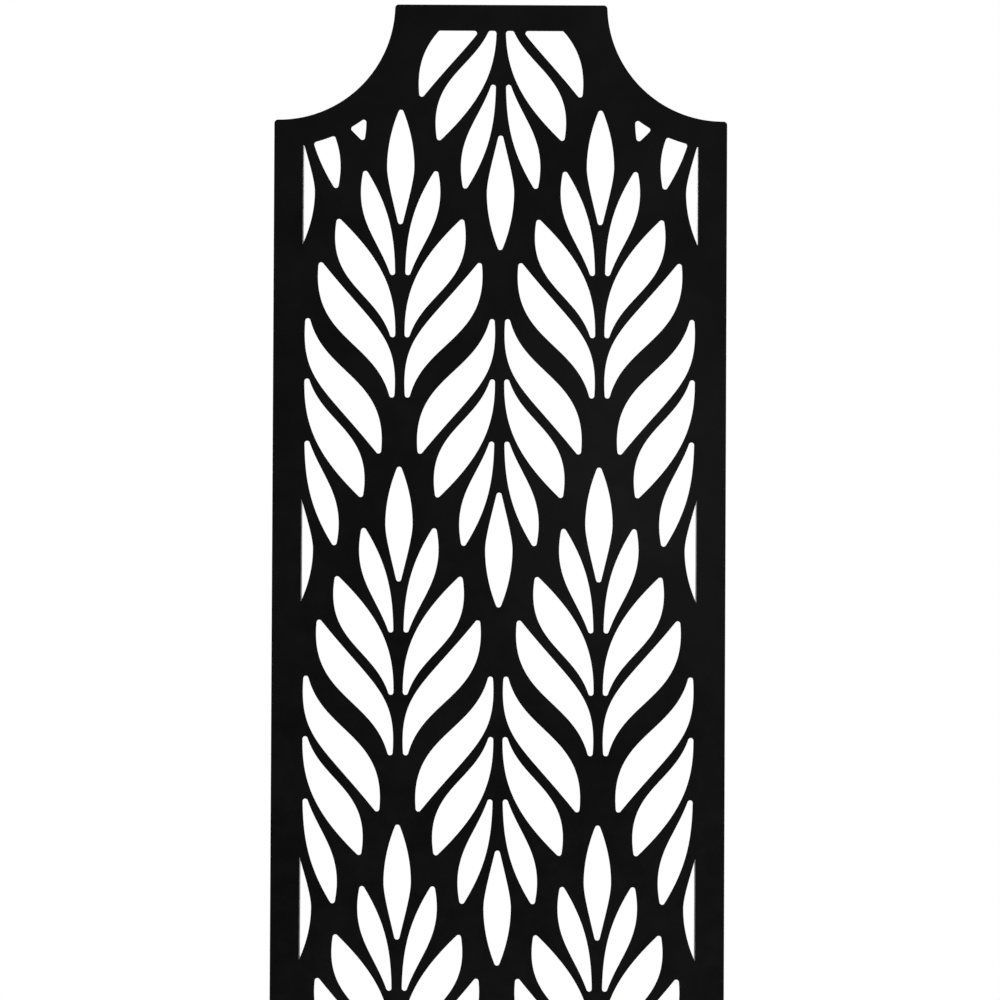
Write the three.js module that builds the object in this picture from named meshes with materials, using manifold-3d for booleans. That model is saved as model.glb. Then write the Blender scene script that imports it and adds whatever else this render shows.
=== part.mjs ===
// Free-standing laser cut steel screen with concave shoulders and a leaf-sprig pattern.
// One pierced sheet is welded to the front of a tube frame, and the frame stands on two bolted-on feet
// with levelling glides. Millimetres, +Z up. The front faces -Y, and the origin is on the floor, below
// the middle of the frame.
import * as THREE from "three";
import { mergeVertices } from "three/addons/utils/BufferGeometryUtils.js";
import Module from "manifold-3d";

const wasm = await Module();
wasm.setup();

// ---------------------------------------------------------------- driving sizes
const screenWidth = 610; // across the sheet
const screenHeight = 1830; // floor to the top edge
const sheetThickness = 2;
const sheetFloorGap = 50; // floor to the sheet's bottom edge
const shoulderRadius = 156; // the concave quarter circles between the top edge and the outer corners
const shoulderFlat = 6; // the short straight edge from each outer corner to its shoulder
const sheetCornerRadius = 5;
const topRimWidth = 35; // plain metal above the pattern, along the top edge
const shoulderRimWidth = 36.5; // plain metal beside the pattern, along the shoulders

const postWidth = 38; // side posts and bottom rail: 38 x 25 x 1.5 tube
const frameDepth = 25;
const tubeWall = 1.5;
const tubeCornerRadius = 2.5;
const topRailHeight = 25; // 25 x 25 x 1.5 tube
const shoulderBarThickness = 4; // rolled flat bar over the post and up the shoulder
const shoulderBarEndInset = 2.2; // from the sheet's edge, so that its round corners hide the bar's ends
const sheetOverhang = 1; // how far the sheet stands out past the frame all round
const weldGap = 0.2; // fit-up gap between welded pieces

const footLength = 420; // front to back
const footWidth = 40;
const footThickness = 8;
const footCornerRadius = 8;
const spigotWall = 2; // stub tube on the foot, inside the post
const spigotClearance = 0.5; // on every side, inside the post

const screwDiameter = 8; // button head screws, M8
const screwLength = 16;
const screwHeadDiameter = 14;
const screwHeadHeight = 4.4;
const screwSocket = 5; // across the flats of the hex socket
const screwSocketDepth = 2.6;
const screwHoleClearance = 0.5; // on the radius
const lowerScrewHeight = 40; // above the foot
const screwSpacing = 70;
const spigotEndMargin = 40; // from the upper screw to the spigot's top
const washerDiameter = 16;
const washerThickness = 1.6;
const nutAcrossFlats = 13;
const weldNutHeight = 6.5;
const seatGap = 0.2; // between clamped faces
const threadGap = 0.3; // round a thread, on the radius

const glidePadDiameter = 34; // levelling glides: an M8 stud that turns in a nylon pad
const glidePadHeight = 10;
const glidePivotDiameter = 6; // the stud's plain end, in the pad
const glidePivotDepth = 6;
const glidePivotClearance = 0.1; // on the radius
const glideCollarHeight = 4; // hex collar above the pad
const glideTravel = 8; // how far a glide screws out
const glideStudDiameter = 8;
const glideNutHeight = 5; // lock nut on top of the foot
const glideInset = 24; // from the end of the foot to the glide's axis

// The leaf pattern: sprigs that point up and down by turns, in columns side by side.
const rowRepeat = 481; // height of one row of sprigs
const topBudDrop = 215; // top edge to the middle of the first upward bud
const downwardBudDrop = 42.5; // how much lower the downward bud beside it lies
const outerColumnInset = 3; // the outermost leaf columns lie this far behind the posts' inner faces
const outerBudInset = 6; // and their half buds this far
const outerBudStretch = 1.2; // how much wider these buds are drawn
const holeCornerRadius = 3.5;
const smallestHoleArea = 160; // mm2; a smaller scrap at the rim isn't cut
const outlineTolerance = 0.8; // how far a facet of a cut edge may lie from its curve

// One sprig as it is drawn, on a tile of drawnPitch x drawnRepeat, with the bud's middle at 0, 0.
// A leaf is two cubic curves from its heel, by the stem, to its tip.
const drawnPitch = 134.5;
const drawnRepeat = 481;
const leaves = [
  { heel: [7, -172], tip: [49, -4], below: [[20, -105], [68, -83]], above: [[6, -108], [10, -64]] },
  { heel: [8, -259], tip: [85, -71], below: [[13, -172], [105, -173]], above: [[1, -184], [14, -138]] },
  { heel: [10, -339], tip: [109, -128], below: [[14, -236], [126, -246]], above: [[-5, -231], [27, -231]] },
];
const bud = {
  heel: [0, -93],
  waist: [18.3, -4],
  tip: [0, 78.5],
  lower: [[9.5, -52], [18.3, -22]],
  upper: [[18.3, 26], [10.5, 55]],
};

// ---------------------------------------------------------------- worked-out places
const halfWidth = screenWidth / 2;
// x of the posts' inner faces, where the half buds at the sides are cut off
const postInner = halfWidth - sheetOverhang - postWidth;
const postX = postInner + postWidth / 2;
const sheetBack = -frameDepth / 2 - weldGap;
const collarBottom = glidePadHeight + seatGap;
const footBottom = collarBottom + glideCollarHeight + seatGap;
const footTop = footBottom + footThickness;
const studTop = footTop + seatGap + glideNutHeight + glideTravel + 1;
const shoulderCentre = new THREE.Vector2(halfWidth - shoulderFlat, screenHeight);
const shoulderFloor = screenHeight - shoulderRadius; // z of the sheet's outer corners
const barInnerRadius = shoulderRadius + sheetOverhang;
const barOuterRadius = barInnerRadius + shoulderBarThickness;
const postTop = screenHeight - barOuterRadius - weldGap;
const postBottom = footTop + seatGap;
const sideRim = halfWidth - postInner;
const columnPitch = (postInner + outerColumnInset) / 2;
const postBoreWidth = postWidth - 2 * tubeWall;
const postBoreDepth = frameDepth - 2 * tubeWall;
const spigotWidth = postBoreWidth - 2 * spigotClearance;
const spigotDepth = postBoreDepth - 2 * spigotClearance;
const upperScrewHeight = lowerScrewHeight + screwSpacing;
const spigotHeight = upperScrewHeight + spigotEndMargin;
const screwHoleDiameter = screwDiameter + 2 * screwHoleClearance;
const glideY = footLength / 2 - glideInset;

// ---------------------------------------------------------------- materials
const material = (name, color, roughness, metalness) =>
  new THREE.MeshStandardMaterial({ name, color, roughness, metalness });
const blackCoat = material("black powder coat", 0x161616, 0.55, 0.1);
const zinc = material("bright zinc plate", 0xa9adb2, 0.35, 0.9);
const blackZinc = material("black zinc plate", 0x24252a, 0.4, 0.7);
const nylon = material("black nylon", 0x1b1b1c, 0.7, 0);

// ---------------------------------------------------------------- flat outlines
// An outline is a list of sides that meet at corners, and a side is a list of points. Outlines run
// anticlockwise, so that their inside is on the left.
const point = ([x, y]) => new THREE.Vector2(x, y);
const CURVE_STEPS = 48; // points along one drawn curve, before the outline is thinned
const cubic = (from, [a, b], to) =>
  new THREE.CubicBezierCurve(point(from), point(a), point(b), point(to)).getPoints(CURVE_STEPS);

function leafOutline({ heel, tip, below, above }) {
  return [cubic(heel, below, tip), cubic(heel, above, tip).reverse()];
}

function budOutline({ heel, waist, tip, lower, upper }) {
  const right = [...cubic(heel, lower, waist), ...cubic(waist, upper, tip).slice(1)];
  const left = right.map((p) => new THREE.Vector2(-p.x, p.y)).reverse();
  return [right, left];
}

const mapOutline = (outline, change) => outline.map((side) => side.map(change));

function outlineArea(outline) {
  return THREE.ShapeUtils.area(outline.flatMap((side) => side.slice(0, -1)));
}

function anticlockwise(outline) {
  return outlineArea(outline) > 0 ? outline : outline.map((side) => [...side].reverse()).reverse();
}

// The part of an outline where the border's distance is positive. The cut is closed along the border.
function cutOutline(outline, border) {
  const pieces = [];
  let piece = null;
  for (const side of outline) {
    if (piece) piece.sides.push([]);
    for (let i = 0; i < side.length; i++) {
      const here = border.distance(side[i]);
      const before = i > 0 ? border.distance(side[i - 1]) : here;
      if (i > 0 && here > 0 !== before > 0) {
        const crossing = side[i - 1].clone().lerp(side[i], before / (before - here));
        if (here > 0) {
          piece = { sides: [[crossing]] };
          pieces.push(piece);
        } else if (piece) {
          piece.sides.at(-1).push(crossing);
          piece.closed = true;
          piece = null;
        }
      }
      if (here > 0) {
        if (!piece) {
          piece = { sides: [[]], open: true };
          pieces.push(piece);
        }
        piece.sides.at(-1).push(side[i]);
      }
    }
  }
  if (!pieces.length) return [];
  if (pieces.length === 1 && !pieces[0].closed) return [outline];
  // The walk started inside: the last piece runs on into the first.
  if (pieces[0].open && !pieces.at(-1).closed && pieces.length > 1) {
    pieces[0].sides = [...pieces.pop().sides, ...pieces[0].sides];
  }
  return pieces.map(({ sides }) => {
    const kept = sides.filter((side) => side.length > 1);
    const end = kept.at(-1).at(-1);
    return [...kept, border.along(end, kept[0][0])];
  });
}

const straightBorder = (distance) => ({ distance, along: (a, b) => straightSide(a, b) });
const straightSide = (a, b) =>
  Array.from({ length: CURVE_STEPS + 1 }, (_, i) => a.clone().lerp(b, i / CURVE_STEPS));

function roundBorder(centre, radius) {
  return {
    distance: (p) => p.distanceTo(centre) - radius,
    along: (a, b) => {
      const [from, to] = [a, b].map((p) => p.clone().sub(centre).angle());
      return arcPoints(centre, radius, from, to, CURVE_STEPS);
    },
  };
}

// Points on an arc that turns the short way from one angle to the other.
function arcPoints(centre, radius, from, to, steps) {
  const turn = THREE.MathUtils.euclideanModulo(to - from + Math.PI, 2 * Math.PI) - Math.PI;
  return Array.from({ length: steps + 1 }, (_, i) => {
    const angle = from + (turn * i) / steps;
    return new THREE.Vector2(centre.x + radius * Math.cos(angle), centre.y + radius * Math.sin(angle));
  });
}

// A side moved inwards, to the left of its direction.
function inset(side, distance) {
  return side.map((p, i) => {
    const along = side[Math.min(i + 1, side.length - 1)].clone().sub(side[Math.max(i - 1, 0)]).normalize();
    return new THREE.Vector2(p.x - along.y * distance, p.y + along.x * distance);
  });
}

// Where two lists of points cross, as places counted in steps along each: the nearest to the corner.
function crossing(first, second) {
  for (let i = first.length - 2; i >= 0; i--) {
    const a = first[i];
    const u = first[i + 1].clone().sub(a);
    for (let j = 0; j < second.length - 1; j++) {
      const v = second[j + 1].clone().sub(second[j]);
      const w = second[j].clone().sub(a);
      const across = u.cross(v);
      const s = w.cross(v) / across;
      const t = w.cross(u) / across;
      if (s >= 0 && s <= 1 && t >= 0 && t <= 1) {
        return { first: i + s, second: j + t, centre: a.clone().addScaledVector(u, s) };
      }
    }
  }
  return null;
}

function pointAt(side, place) {
  const i = Math.min(Math.floor(place), side.length - 2);
  return side[i].clone().lerp(side[i + 1], place - i);
}

// The points that keep a curve within the tolerance (Douglas and Peucker's way).
function thinned(points, tolerance) {
  const [start, end] = [points[0], points.at(-1)];
  const chord = end.clone().sub(start);
  let worst = 0;
  let at = 0;
  for (let i = 1; i < points.length - 1; i++) {
    const away = Math.abs(chord.cross(points[i].clone().sub(start))) / chord.length();
    if (away > worst) [worst, at] = [away, i];
  }
  if (worst <= tolerance) return [start, end];
  return [...thinned(points.slice(0, at + 1), tolerance), ...thinned(points.slice(at), tolerance).slice(1)];
}

// One closed list of points, with an arc at each corner. Where a short side leaves no room for the
// arcs at its ends, the whole outline gets a smaller radius.
function roundedOutline(outline, radius) {
  const insets = outline.map((side) => inset(side, radius));
  const corners = outline.map((side, i) => crossing(insets[i], insets[(i + 1) % outline.length]));
  const spans = outline.map((side, i) => {
    const before = corners[(i + corners.length - 1) % corners.length];
    return { from: before ? before.second : 0, to: corners[i] ? corners[i].first : side.length - 1 };
  });
  if (spans.some(({ from, to }) => to <= from)) return roundedOutline(outline, 0.8 * radius);
  const arcSteps = Math.ceil(Math.PI / (2 * Math.acos(1 - outlineTolerance / radius)));
  const points = [];
  outline.forEach((side, i) => {
    const { from, to } = spans[i];
    const kept = [pointAt(side, from), ...side.filter((_, k) => k > from && k < to), pointAt(side, to)];
    points.push(...thinned(kept, outlineTolerance).slice(0, -1));
    const corner = corners[i];
    if (!corner) return;
    const start = pointAt(side, to).sub(corner.centre).angle();
    const finish = pointAt(outline[(i + 1) % outline.length], corner.second).sub(corner.centre).angle();
    points.push(...arcPoints(corner.centre, radius, start, finish, arcSteps).slice(0, -1));
  });
  return points;
}

// ---------------------------------------------------------------- the leaf pattern
// One sprig's holes as outlines in the sheet's plane (x across, y up), before they are cut at the rim.
function sprigHoles(x, z, direction) {
  const place = (mirror) => (p) =>
    new THREE.Vector2(
      x + (mirror * p.x * columnPitch) / drawnPitch,
      z + (direction * p.y * rowRepeat) / drawnRepeat,
    );
  const holes = leaves.flatMap((leaf) => [1, -1].map((side) => mapOutline(leafOutline(leaf), place(side))));
  return { leaves: holes, bud: mapOutline(budOutline(bud), place(1)) };
}

function patternHoles() {
  const borders = [
    straightBorder((p) => screenHeight - topRimWidth - p.y),
    straightBorder((p) => p.y - sheetFloorGap - sideRim),
    ...[-1, 1].map((side) => {
      const centre = new THREE.Vector2(side * shoulderCentre.x, shoulderCentre.y);
      return roundBorder(centre, shoulderRadius + shoulderRimWidth);
    }),
  ];
  const sides = [-1, 1].map((side) => straightBorder((p) => postInner - side * p.x));
  const clip = (outline, cuts) =>
    cuts
      .reduce((kept, cut) => kept.flatMap((piece) => cutOutline(piece, cut)), [anticlockwise(outline)])
      .filter((piece) => outlineArea(piece) > smallestHoleArea);

  const holes = [];
  for (let column = -2; column <= 2; column++) {
    const upward = column % 2 !== 0;
    const outermost = Math.abs(column) === 2;
    const drop = topBudDrop + (upward ? 0 : downwardBudDrop);
    const rows = Math.ceil((screenHeight - sheetFloorGap) / rowRepeat) + 1;
    for (let row = 0; row < rows; row++) {
      const z = screenHeight - drop - row * rowRepeat;
      const sprig = sprigHoles(column * columnPitch, z, upward ? 1 : -1);
      for (const leaf of sprig.leaves) {
        if (Math.abs(leaf[0][0].x) > postInner) continue; // behind the post
        for (const piece of clip(leaf, borders)) holes.push(roundedOutline(piece, holeCornerRadius));
      }
      const stem = column * columnPitch;
      const outerBud = (p) => {
        const shift = Math.sign(column) * (outerBudInset - outerColumnInset);
        return new THREE.Vector2(stem + shift + (p.x - stem) * outerBudStretch, p.y);
      };
      const budPlace = outermost ? mapOutline(sprig.bud, outerBud) : sprig.bud;
      for (const piece of clip(budPlace, borders)) {
        if (!outermost) {
          holes.push(roundedOutline(piece, holeCornerRadius));
          continue;
        }
        // A half bud: its ends are rounded first, and then the post's line cuts it off sharp.
        const whole = roundedOutline(piece, holeCornerRadius);
        for (const half of clip([[...whole, whole[0]]], sides)) {
          holes.push(half.flatMap((side) => thinned(side, outlineTolerance).slice(0, -1)));
        }
      }
    }
  }
  return holes;
}

// ---------------------------------------------------------------- solids
const solidOf = (geometry) => {
  const bare = geometry.clone();
  bare.deleteAttribute("normal");
  bare.deleteAttribute("uv");
  const merged = mergeVertices(bare, 1e-3);
  return new wasm.Manifold(
    new wasm.Mesh({
      numProp: 3,
      vertProperties: new Float32Array(merged.attributes.position.array),
      triVerts: new Uint32Array(merged.index.array),
    }),
  );
};

const geometryOf = (solid) => {
  const { vertProperties, triVerts } = solid.getMesh();
  const geometry = new THREE.BufferGeometry();
  geometry.setAttribute("position", new THREE.BufferAttribute(vertProperties, 3));
  geometry.setIndex(new THREE.BufferAttribute(triVerts, 1));
  return geometry;
};

const without = (geometry, ...cutters) =>
  geometryOf(cutters.reduce((solid, cutter) => solid.subtract(solidOf(cutter)), solidOf(geometry)));

const CORNER_FACETS = 2; // of a quarter turn
const ROUND_FACETS = 16; // of a full turn

const extruded = (shape, depth, curveSegments = CORNER_FACETS / 2) =>
  new THREE.ExtrudeGeometry(shape, { depth, bevelEnabled: false, curveSegments });

// A shape drawn across (x) and up (y), made solid from the back at y = backY towards the front.
const upright = (shape, depth, backY) => extruded(shape, depth).rotateX(Math.PI / 2).translate(0, backY, 0);

function roundedRectangle(path, width, height, radius) {
  const [x, y] = [width / 2, height / 2];
  path.moveTo(x - radius, -y);
  path.absarc(x - radius, -y + radius, radius, -Math.PI / 2, 0);
  path.absarc(x - radius, y - radius, radius, 0, Math.PI / 2);
  path.absarc(-x + radius, y - radius, radius, Math.PI / 2, Math.PI);
  path.absarc(-x + radius, -y + radius, radius, Math.PI, 1.5 * Math.PI);
  path.closePath();
  return path;
}

// A tube standing on z = 0, with its width along X and its depth along Y.
function tube(width, depth, wall, length, cornerRadius = tubeCornerRadius) {
  const shape = roundedRectangle(new THREE.Shape(), width, depth, cornerRadius);
  const innerRadius = Math.max(cornerRadius - wall, 0.5);
  shape.holes.push(roundedRectangle(new THREE.Path(), width - 2 * wall, depth - 2 * wall, innerRadius));
  return extruded(shape, length);
}

const rod = (diameter, length) =>
  new THREE.CylinderGeometry(diameter / 2, diameter / 2, length, ROUND_FACETS);
// A rod along Y from one y to another.
const rodAlongY = (diameter, from, to) => rod(diameter, to - from).translate(0, (from + to) / 2, 0);
// A rod along Z from one z to another.
const rodAlongZ = (diameter, from, to) =>
  rod(diameter, to - from).rotateX(Math.PI / 2).translate(0, 0, (from + to) / 2);
// A profile of [radius, height] pairs, turned about Z.
const turned = (profile) => new THREE.LatheGeometry(profile.map(point), ROUND_FACETS).rotateX(Math.PI / 2);

function hexagon(acrossFlats) {
  const corner = acrossFlats / Math.sqrt(3);
  const points = Array.from({ length: 6 }, (_, i) =>
    new THREE.Vector2(corner * Math.cos((i * Math.PI) / 3), corner * Math.sin((i * Math.PI) / 3)),
  );
  return new THREE.Shape(points);
}

// A flat-ended ring of some outline with a round bore, standing on z = 0.
function ring(shape, boreDiameter, height) {
  const bore = new THREE.Path();
  bore.absarc(0, 0, boreDiameter / 2, 0, 2 * Math.PI, true);
  shape.holes.push(bore);
  return extruded(shape, height, ROUND_FACETS / 2);
}

function disc(diameter) {
  const shape = new THREE.Shape();
  shape.absarc(0, 0, diameter / 2, 0, 2 * Math.PI);
  return shape;
}

// ---------------------------------------------------------------- the pieces
const screen = new THREE.Group();

function add(name, geometry, material, x = 0, y = 0, z = 0) {
  const mesh = new THREE.Mesh(geometry, material);
  mesh.name = name;
  mesh.position.set(x, y, z);
  screen.add(mesh);
  return mesh;
}

// The sheet's outline, anticlockwise from its bottom left corner, as sides between corners.
function sheetOutline() {
  const at = (x, y) => new THREE.Vector2(x, y);
  const shoulder = (side) => {
    const centre = at(side * shoulderCentre.x, shoulderCentre.y);
    const outside = side > 0 ? [1.5 * Math.PI, Math.PI] : [0, -0.5 * Math.PI];
    return arcPoints(centre, shoulderRadius, ...outside, CURVE_STEPS);
  };
  const [right, left] = [shoulder(1), shoulder(-1)];
  return [
    straightSide(at(-halfWidth, sheetFloorGap), at(halfWidth, sheetFloorGap)),
    straightSide(at(halfWidth, sheetFloorGap), at(halfWidth, shoulderFloor)),
    [...straightSide(at(halfWidth, shoulderFloor), right[0]), ...right.slice(1)],
    straightSide(right.at(-1), left[0]),
    [...left, ...straightSide(left.at(-1), at(-halfWidth, shoulderFloor)).slice(1)],
    straightSide(at(-halfWidth, shoulderFloor), at(-halfWidth, sheetFloorGap)),
  ];
}

function sheetGeometry() {
  const shape = new THREE.Shape(roundedOutline(sheetOutline(), sheetCornerRadius));
  for (const hole of patternHoles()) shape.holes.push(new THREE.Path(hole));
  return upright(shape, sheetThickness, sheetBack);
}
add("screen_sheet", sheetGeometry(), blackCoat);

// A rolled flat bar that closes the post's top end and follows the shoulder up to the top rail.
function shoulderBarGeometry(side) {
  const barTop = screenHeight - shoulderBarEndInset;
  const outerEnd = halfWidth - shoulderBarEndInset;
  const startAngle = (radius) => Math.PI + Math.asin((shoulderCentre.y - barTop) / radius);
  const shape = new THREE.Shape();
  const [cx, cy] = [shoulderCentre.x, shoulderCentre.y];
  shape.absarc(cx, cy, barOuterRadius, startAngle(barOuterRadius), 1.5 * Math.PI);
  shape.lineTo(outerEnd, cy - barOuterRadius);
  shape.lineTo(outerEnd, cy - barInnerRadius);
  shape.absarc(cx, cy, barInnerRadius, 1.5 * Math.PI, startAngle(barInnerRadius), true);
  const points = shape.getPoints(16).map((p) => new THREE.Vector2(side * p.x, p.y));
  return upright(new THREE.Shape(side > 0 ? points : points.reverse()), frameDepth, frameDepth / 2);
}

// The top rail fits between the two bars.
const topRailTop = screenHeight - sheetOverhang;
const topRailLength = 2 * (shoulderCentre.x - barOuterRadius - weldGap);
add(
  "top_rail",
  tube(topRailHeight, frameDepth, tubeWall, topRailLength).rotateY(Math.PI / 2),
  blackCoat,
  -topRailLength / 2,
  0,
  topRailTop - topRailHeight / 2,
);

const bottomRailLength = 2 * (postInner - weldGap);
add(
  "bottom_rail",
  tube(postWidth, frameDepth, tubeWall, bottomRailLength).rotateY(Math.PI / 2),
  blackCoat,
  -bottomRailLength / 2,
  0,
  sheetFloorGap + sheetOverhang + postWidth / 2,
);

// Screws go in from behind, through the post into a weld nut inside the spigot.
const screwHeights = { lower: footTop + lowerScrewHeight, upper: footTop + upperScrewHeight };
const postBack = frameDepth / 2;
const washerFront = postBack + seatGap;
const headFront = washerFront + washerThickness + seatGap;
const spigotBack = spigotDepth / 2;
const weldNutBack = spigotBack - spigotWall - weldGap;

const holesThrough = (x, fromY, toY) =>
  Object.values(screwHeights).map((z) => rodAlongY(screwHoleDiameter, fromY, toY).translate(x, 0, z));

// A screw with its head upwards and the underside of the head at z = 0.
function screwGeometry() {
  const [halfHead, halfThread] = [screwHeadDiameter / 2, screwDiameter / 2];
  const chamfer = 0.8;
  const head = turned([
    [0, -screwLength],
    [halfThread - chamfer, -screwLength],
    [halfThread, chamfer - screwLength],
    [halfThread, 0],
    [halfHead, 0],
    [halfHead, 0.25 * screwHeadHeight],
    [0.87 * halfHead, 0.75 * screwHeadHeight],
    [0.6 * halfHead, screwHeadHeight],
    [0, screwHeadHeight],
  ]);
  const socketBottom = screwHeadHeight - screwSocketDepth;
  return without(head, extruded(hexagon(screwSocket), screwSocketDepth + 1).translate(0, 0, socketBottom));
}

// The pad stands on the floor, with a blind hole in its top for the stud's plain end.
function padGeometry() {
  const halfPad = glidePadDiameter / 2;
  const pivotHole = glidePivotDiameter / 2 + glidePivotClearance;
  const skirt = 0.45 * glidePadHeight;
  const hub = nutAcrossFlats / 2 + 1;
  return turned([
    [0, 0],
    [halfPad - 1, 0],
    [halfPad, 1],
    [halfPad, skirt],
    [halfPad - 1.5, skirt + 1],
    [hub, glidePadHeight],
    [pivotHole, glidePadHeight],
    [pivotHole, glidePadHeight - glidePivotDepth],
    [0, glidePadHeight - glidePivotDepth],
  ]);
}

// The stud: a plain end in the pad, a hex collar for the spanner, and the thread.
function studGeometry() {
  const [halfPivot, halfStud] = [glidePivotDiameter / 2, glideStudDiameter / 2];
  const collar = extruded(hexagon(nutAcrossFlats), glideCollarHeight).translate(0, 0, collarBottom);
  const pivotBottom = glidePadHeight - glidePivotDepth + seatGap;
  const shank = turned([
    [0, pivotBottom],
    [halfPivot, pivotBottom],
    [halfPivot, collarBottom + 1],
    [halfStud, collarBottom + 1],
    [halfStud, studTop - 0.8],
    [halfStud - 0.8, studTop],
    [0, studTop],
  ]);
  return geometryOf(solidOf(collar).add(solidOf(shank)));
}

const footSlab = () =>
  extruded(roundedRectangle(new THREE.Shape(), footWidth, footLength, footCornerRadius), footThickness, 2);

for (const [name, side] of [["left", -1], ["right", 1]]) {
  const x = side * postX;
  add(`shoulder_bar_${name}`, shoulderBarGeometry(side), blackCoat);

  const post = tube(postWidth, frameDepth, tubeWall, postTop - postBottom).translate(x, 0, postBottom);
  add(`post_${name}`, without(post, ...holesThrough(x, postBack - 2 * tubeWall, postBack + 1)), blackCoat);

  const studHoles = [-glideY, glideY].map((y) =>
    rodAlongZ(glideStudDiameter + 2 * threadGap, -1, footThickness + 1).translate(0, y, 0),
  );
  add(`foot_bar_${name}`, without(footSlab(), ...studHoles), blackCoat, x, 0, footBottom);

  const spigot = tube(spigotWidth, spigotDepth, spigotWall, spigotHeight).translate(x, 0, footTop + weldGap);
  const spigotHoles = holesThrough(x, spigotBack - spigotWall - 1, spigotBack + 1);
  add(`spigot_${name}`, without(spigot, ...spigotHoles), blackCoat);

  for (const [level, z] of Object.entries(screwHeights)) {
    add(`screw_${name}_${level}`, screwGeometry().rotateX(-Math.PI / 2), blackZinc, x, headFront, z);
    add(
      `washer_${name}_${level}`,
      ring(disc(washerDiameter), screwDiameter + 2 * threadGap, washerThickness).rotateX(-Math.PI / 2),
      blackZinc,
      x,
      washerFront,
      z,
    );
    add(
      `weld_nut_${name}_${level}`,
      ring(hexagon(nutAcrossFlats), screwDiameter + 2 * threadGap, weldNutHeight).rotateX(Math.PI / 2),
      zinc,
      x,
      weldNutBack,
      z,
    );
  }

  for (const [end, y] of [["front", -glideY], ["back", glideY]]) {
    add(`glide_pad_${name}_${end}`, padGeometry(), nylon, x, y, 0);
    add(`glide_stud_${name}_${end}`, studGeometry(), zinc, x, y, 0);
    add(
      `glide_nut_${name}_${end}`,
      ring(hexagon(nutAcrossFlats), glideStudDiameter + 2 * threadGap, glideNutHeight),
      zinc,
      x,
      y,
      footTop + seatGap,
    );
  }
}

export default screen;
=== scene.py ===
# %% [markdown]
# # A laser cut metal screen
#
# The real screen is one steel sheet, pierced by a laser, welded to the front of a frame of
# rectangular tube and stood on two flat feet. All but its small hardware is powder coated black.
# Every piece below takes its place from the engineering model, which is loaded first. Reading the
# places there is safer than typing them again: if the model changes, the pieces follow.

# %% Load the engineering model and read its places
from math import ceil, cos, pi, radians, sin, tan

import bmesh
import bpy
from mathutils import Matrix, Vector
from mathutils.geometry import intersect_line_line_2d


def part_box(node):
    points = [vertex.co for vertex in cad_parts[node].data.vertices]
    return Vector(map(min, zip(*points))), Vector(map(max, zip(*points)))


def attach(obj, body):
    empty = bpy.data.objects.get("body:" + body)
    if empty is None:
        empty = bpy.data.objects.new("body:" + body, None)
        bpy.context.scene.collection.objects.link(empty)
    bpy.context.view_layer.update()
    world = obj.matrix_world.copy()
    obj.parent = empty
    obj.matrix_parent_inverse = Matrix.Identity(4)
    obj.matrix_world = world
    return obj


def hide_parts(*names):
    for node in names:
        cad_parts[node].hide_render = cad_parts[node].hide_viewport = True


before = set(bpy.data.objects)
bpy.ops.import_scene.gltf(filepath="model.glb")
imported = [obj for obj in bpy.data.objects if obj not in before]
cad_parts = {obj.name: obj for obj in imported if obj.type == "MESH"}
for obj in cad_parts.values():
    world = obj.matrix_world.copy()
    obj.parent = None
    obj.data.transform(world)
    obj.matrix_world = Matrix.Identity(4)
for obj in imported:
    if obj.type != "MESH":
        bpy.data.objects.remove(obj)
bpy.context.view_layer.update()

mm = 0.001
SIDES = {"left": -1, "right": 1}
ENDS = ("front", "back")
LEVELS = ("lower", "upper")


def box_of(node_name):
    return [Vector(corner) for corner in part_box(node_name)]


sheet_low, sheet_high = box_of("screen_sheet")
post_low, post_high = box_of("post_right")
half_width = sheet_high.x
post_inner = post_low.x
print("sheet", [round(v / mm, 1) for v in (*sheet_low, *sheet_high)], "mm")
print("right post", [round(v / mm, 1) for v in (*post_low, *post_high)], "mm")

# %% [markdown]
# ## From a bmesh to a piece
#
# A bmesh holds the shape while it is being made. At the end it becomes an object at the origin,
# with its place in its mesh. Normals are recalculated once the doubles are merged. Faces are smooth
# where neighbours meet at a small angle, and sharp edges stay sharp. Each piece gets the material of
# its finish and is hung under the empty of its body.

# %% Finish a piece
MERGE_DISTANCE = 1e-6
SHARP_ANGLE = 32


def merge_doubles(bm, distance=MERGE_DISTANCE):
    bmesh.ops.remove_doubles(bm, verts=bm.verts, dist=distance)
    bmesh.ops.recalc_face_normals(bm, faces=bm.faces)
    return sum(1 for edge in bm.edges if len(edge.link_faces) != 2)


def place_mesh(name, mesh, material, body, nodes=()):
    piece = bpy.data.objects.new(name, mesh)
    bpy.context.scene.collection.objects.link(piece)
    mesh.materials.append(material)
    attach(piece, body)
    if nodes:
        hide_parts(*nodes)


def finish_piece(bm, name, material, body, nodes=(), sharp=SHARP_ANGLE):
    open_edges = merge_doubles(bm)
    mesh = bpy.data.meshes.new(name)
    bm.to_mesh(mesh)
    bm.free()
    mesh.shade_smooth()
    mesh.set_sharp_from_angle(angle=radians(sharp))
    print(f"{name}: {len(mesh.polygons)} faces, {open_edges} open edges")
    place_mesh(name, mesh, material, body, nodes)


print("an edge of more than", SHARP_ANGLE, "degrees stays sharp")

# %% [markdown]
# ## Cutting one shape with another
#
# bmesh has no boolean operator, so a cut is made by the Boolean modifier on two throwaway objects.
# The result is read back into a bmesh, and both objects are removed.

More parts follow.
